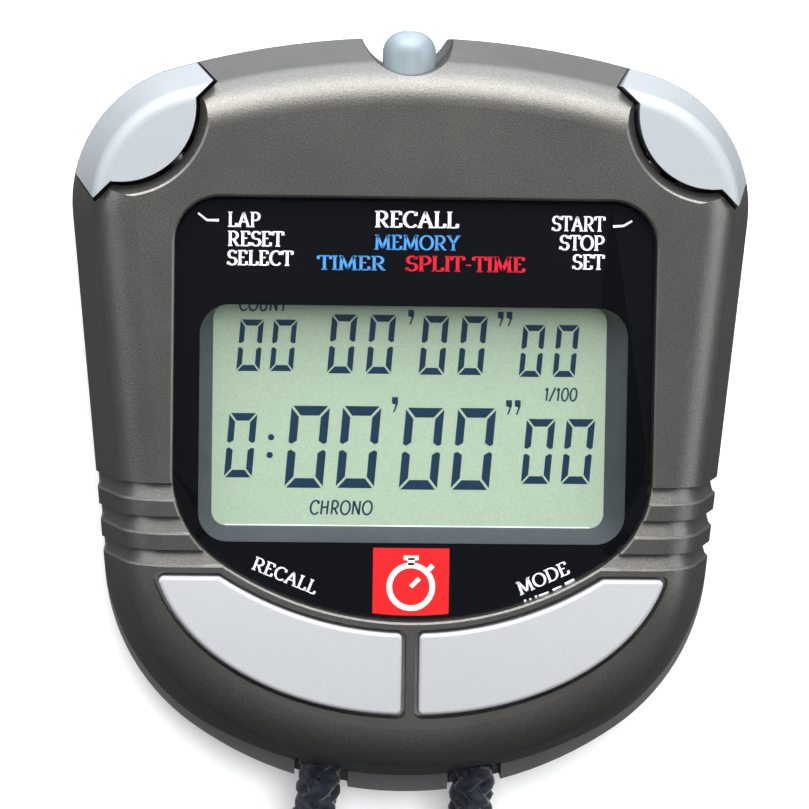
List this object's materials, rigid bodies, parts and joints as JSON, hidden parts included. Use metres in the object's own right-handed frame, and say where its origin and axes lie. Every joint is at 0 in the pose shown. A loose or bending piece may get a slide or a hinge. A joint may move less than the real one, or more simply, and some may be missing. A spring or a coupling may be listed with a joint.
{
  "type": "digital stopwatch",
  "caption": "Handheld digital stopwatch with a framed display, corner push buttons, a top button, two curved front keys, ribbed grips and a braided neck cord.",
  "frame": {"origin": "centre of the case's box at its rear face, without the cord", "axes": "+X to the right of the display, +Y to the top button, +Z out of the display"},
  "size_m": [0.0701, 0.1559, 0.0211],
  "materials": {
    "case_gunmetal": "satin metallic lacquer on moulded plastic",
    "rear_case_grey": "satin",
    "seal_rubber": "matt",
    "window_clear": "polished",
    "mask_black": "gloss print",
    "bezel_grey": "satin",
    "display_green": "semi-matt polariser",
    "backlight_white": "matt",
    "contact_rubber": "matt",
    "board_green": "solder resist",
    "screw_steel": "zinc plated",
    "chip_black": "matt",
    "crystal_can": "bright",
    "coil_copper": "enamelled copper",
    "capacitor_tan": "matt",
    "cell_steel": "bright",
    "contact_brass": "bright",
    "buzzer_brass": "satin",
    "spring_steel": "bright",
    "keypad_rubber": "matt",
    "key_silver": "silver lacquer",
    "button_silver": "silver lacquer",
    "top_button_steel": "satin nickel",
    "stem_steel": "turned",
    "clip_steel": "oiled",
    "cord_braid": "braided polyester"
  },
  "bodies": {
    "case": {"front_case": "case_gunmetal", "rear_case": "rear_case_grey", "case_gasket": "seal_rubber", "display_window": "window_clear", "window_mask": "mask_black", "lcd_bezel": "bezel_grey", "lcd_front_glass": "display_green", "lcd_rear_glass": "display_green", "backlight_panel": "backlight_white", "upper_contact_strip": "contact_rubber", "lower_contact_strip": "contact_rubber", "circuit_board": "board_green", "board_screws": "screw_steel", "controller_chip": "chip_black", "quartz_crystal": "crystal_can", "light_coil": "coil_copper", "board_capacitors": "capacitor_tan", "coin_cell": "cell_steel", "battery_clip": "contact_brass", "battery_contact": "contact_brass", "buzzer_disc": "buzzer_brass", "buzzer_spring": "spring_steel", "keypad": "keypad_rubber", "mode_dome": "keypad_rubber", "recall_dome": "keypad_rubber", "case_screws": "screw_steel", "neck_cord_coil": "cord_braid", "neck_cord_left": "cord_braid", "neck_cord_right": "cord_braid", "neck_cord_loop": "cord_braid", "start_stop_spring": "spring_steel", "start_stop_contact": "contact_brass", "lap_reset_spring": "spring_steel", "lap_reset_contact": "contact_brass", "light_button_spring": "spring_steel", "light_button_contact": "contact_brass"},
    "start_stop_button": {"start_stop_cap": "button_silver", "start_stop_stem": "stem_steel", "start_stop_seal": "seal_rubber", "start_stop_clip": "clip_steel"},
    "lap_reset_button": {"lap_reset_cap": "button_silver", "lap_reset_stem": "stem_steel", "lap_reset_seal": "seal_rubber", "lap_reset_clip": "clip_steel"},
    "light_button": {"light_button_cap": "top_button_steel", "light_button_stem": "stem_steel", "light_button_seal": "seal_rubber", "light_button_clip": "clip_steel"},
    "recall_key": {"recall_key": "key_silver"},
    "mode_key": {"mode_key": "key_silver"}
  },
  "joints": [
    {"name": "start_stop_press", "type": "slide", "parent": "case", "child": "start_stop_button", "axis": [-0.7071, -0.7071, 0], "range_m": [0, 0.00035], "stiffness_N_per_m": 900, "springref_m": -0.001, "deforming": ["start_stop_spring"]},
    {"name": "lap_reset_press", "type": "slide", "parent": "case", "child": "lap_reset_button", "axis": [0.7071, -0.7071, 0], "range_m": [0, 0.00035], "stiffness_N_per_m": 900, "springref_m": -0.001, "deforming": ["lap_reset_spring"]},
    {"name": "light_press", "type": "slide", "parent": "case", "child": "light_button", "axis": [0, -1, 0], "range_m": [0, 0.00035], "stiffness_N_per_m": 600, "springref_m": -0.001, "deforming": ["light_button_spring"]},
    {"name": "recall_press", "type": "slide", "parent": "case", "child": "recall_key", "axis": [0, 0, -1], "range_m": [0, 0.0008], "stiffness_N_per_m": 900, "springref_m": -0.0006, "deforming": ["recall_dome"]},
    {"name": "mode_press", "type": "slide", "parent": "case", "child": "mode_key", "axis": [0, 0, -1], "range_m": [0, 0.0008], "stiffness_N_per_m": 900, "springref_m": -0.0006, "deforming": ["mode_dome"]}
  ]
}
